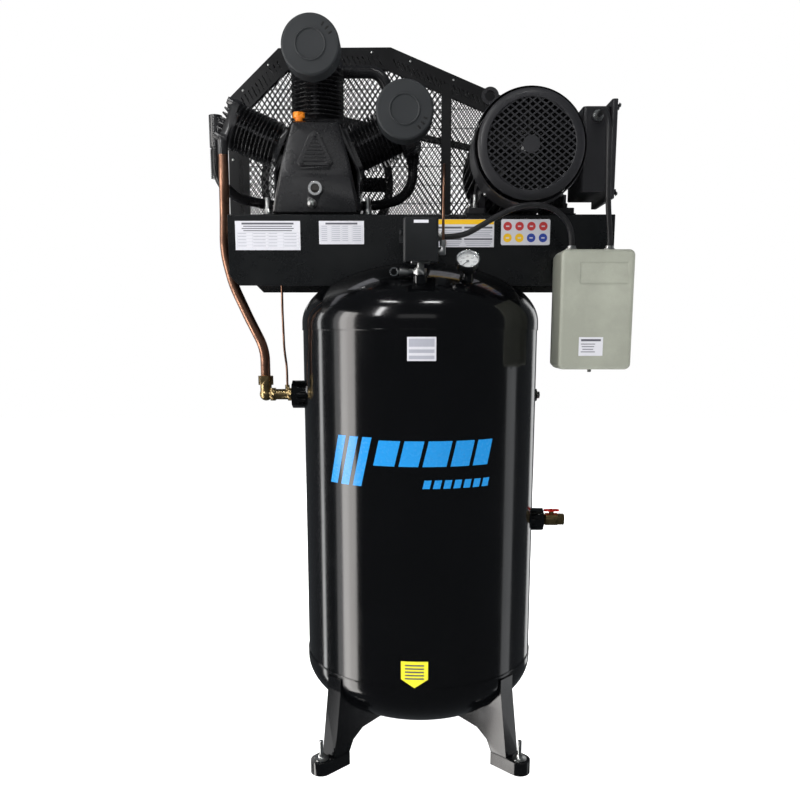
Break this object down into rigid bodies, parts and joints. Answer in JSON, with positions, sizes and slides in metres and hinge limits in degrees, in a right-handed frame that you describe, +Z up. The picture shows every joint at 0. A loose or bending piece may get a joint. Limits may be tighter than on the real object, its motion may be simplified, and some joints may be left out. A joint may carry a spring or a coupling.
{
  "type": "vertical tank compressor",
  "caption": "Vertical receiver on bent legs with a deck, a three cylinder two-stage pump, fan cooled motor, guarded belt drive, starter box and gauges.",
  "frame": {"origin": "on the floor, on the tank's vertical axis, which is the centre of the four foot studs", "axes": "+Z up along the tank, -Y towards the operator's side with the controls, +X towards the motor end"},
  "size_m": [1.029, 0.6468, 1.886],
  "materials": {
    "tank_paint": "gloss black powder coat",
    "leg_paint": "gloss black powder coat",
    "deck_paint": "satin black paint",
    "casting": "satin black painted casting",
    "pipe_paint": "satin black painted tube",
    "motor_paint": "satin black enamel",
    "guard_paint": "black powder coat",
    "filter_plastic": "matte charcoal",
    "fan_plastic": "matte black",
    "switch_plastic": "matte black",
    "plug_plastic": "orange",
    "conduit_rubber": "black jacket",
    "belt_rubber": "black belt",
    "starter_paint": "light grey enamel",
    "zinc": "zinc plated",
    "steel": "ground steel",
    "alloy": "cast aluminium",
    "chrome": "bright",
    "sight_glass": "clear",
    "copper": "copper tube",
    "brass": "turned brass",
    "needle_paint": "black",
    "handle_paint": "red enamel"
  },
  "bodies": {
    "frame": {"tank_shell": "tank_paint", "tank_head_top": "tank_paint", "tank_head_bottom": "tank_paint", "legs": "leg_paint", "foot_bolts": "zinc", "tank_ports": "tank_paint", "tank_plugs": "zinc", "deck": "deck_paint", "crankcase": "casting", "crankcase_cover": "casting", "sight_glass_ring": "chrome", "sight_glass_lens": "sight_glass", "filler_plug": "plug_plastic", "oil_drain_plug": "zinc", "cylinder_left": "casting", "cylinder_middle": "casting", "cylinder_right": "casting", "head_left": "casting", "head_middle": "casting", "head_right": "casting", "air_filter_middle": "filter_plastic", "air_filter_right": "filter_plastic", "header_pipe": "pipe_paint", "intercooler_pipe": "pipe_paint", "main_bearings": "steel", "deck_bolts": "zinc", "motor_frame": "motor_paint", "fan_cover": "motor_paint", "terminal_box": "motor_paint", "drive_belts": "belt_rubber", "guard_rim": "guard_paint", "guard_meshes": "guard_paint", "starter_box": "starter_paint", "starter_cover": "starter_paint", "conduit_switch": "conduit_rubber", "conduit_motor": "conduit_rubber", "conduit_glands": "zinc", "pressure_switch": "switch_plastic", "switch_fittings": "brass", "gauge_case": "chrome", "safety_valve": "brass", "unloader_tube": "copper", "discharge_tube": "copper", "check_valve": "brass", "outlet_valve": "brass"},
    "crank": {"crankshaft": "steel", "flywheel": "casting"},
    "rotor": {"motor_rotor": "steel", "motor_pulley": "casting", "motor_fan": "fan_plastic"},
    "piston_left_body": {"piston_left": "alloy"},
    "piston_middle_body": {"piston_middle": "alloy"},
    "piston_right_body": {"piston_right": "alloy"},
    "rod_left_body": {"con_rod_left": "alloy"},
    "rod_middle_body": {"con_rod_middle": "alloy"},
    "rod_right_body": {"con_rod_right": "alloy"},
    "lever": {"switch_lever": "switch_plastic"},
    "needle": {"gauge_needle": "needle_paint"},
    "ring": {"safety_ring": "chrome"},
    "handle": {"outlet_handle": "handle_paint"}
  },
  "joints": [
    {"name": "crank_spin", "type": "hinge", "parent": "frame", "child": "crank", "pos_m": [-0.262, 0.3, 1.526], "axis": [0, 1, 0], "continuous": true},
    {"name": "motor_spin", "type": "hinge", "parent": "frame", "child": "rotor", "pos_m": [0.25, 0.3, 1.53], "axis": [0, 1, 0], "continuous": true},
    {"name": "piston_left_slide", "type": "slide", "parent": "frame", "child": "piston_left_body", "axis": [-0.9135, 0, 0.4067], "range_m": [-0.0399, 0.0201]},
    {"name": "piston_middle_slide", "type": "slide", "parent": "frame", "child": "piston_middle_body", "axis": [0, 0, 1], "range_m": [-0.06, 0]},
    {"name": "piston_right_slide", "type": "slide", "parent": "frame", "child": "piston_right_body", "axis": [0.9135, 0, 0.4067], "range_m": [-0.0399, 0.0201]},
    {"name": "rod_left_swing", "type": "hinge", "parent": "piston_left_body", "child": "rod_left_body", "pos_m": [-0.41901, 0.009, 1.5959], "axis": [0, 1, 0], "range_deg": [-0.93, 20.41]},
    {"name": "rod_middle_swing", "type": "hinge", "parent": "piston_middle_body", "child": "rod_middle_body", "pos_m": [-0.262, 0.035, 1.718], "axis": [0, 1, 0], "range_deg": [-10.67, 10.67]},
    {"name": "rod_right_swing", "type": "hinge", "parent": "piston_right_body", "child": "rod_right_body", "pos_m": [-0.10499, 0.061, 1.5959], "axis": [0, 1, 0], "range_deg": [-20.41, 0.93]},
    {"name": "lever_turn", "type": "hinge", "parent": "frame", "child": "lever", "pos_m": [-0.045, -0.238, 1.329], "axis": [1, 0, 0], "range_deg": [0, 60]},
    {"name": "needle_turn", "type": "hinge", "parent": "frame", "child": "needle", "pos_m": [0.105, -0.22628, 1.26662], "axis": [0, 0.788, -0.6157], "range_deg": [0, 270]},
    {"name": "ring_pull", "type": "slide", "parent": "frame", "child": "ring", "axis": [-1, 0, 0], "range_m": [0, 0.006], "stiffness_N_per_m": 1500},
    {"name": "handle_turn", "type": "hinge", "parent": "frame", "child": "handle", "pos_m": [0.362, 0, 0.599], "axis": [0, 0, 1], "range_deg": [0, 90]}
  ],
  "couplings": [
    {"joint": "motor_spin", "follows": "crank_spin", "ratio": 2.4026}
  ]
}
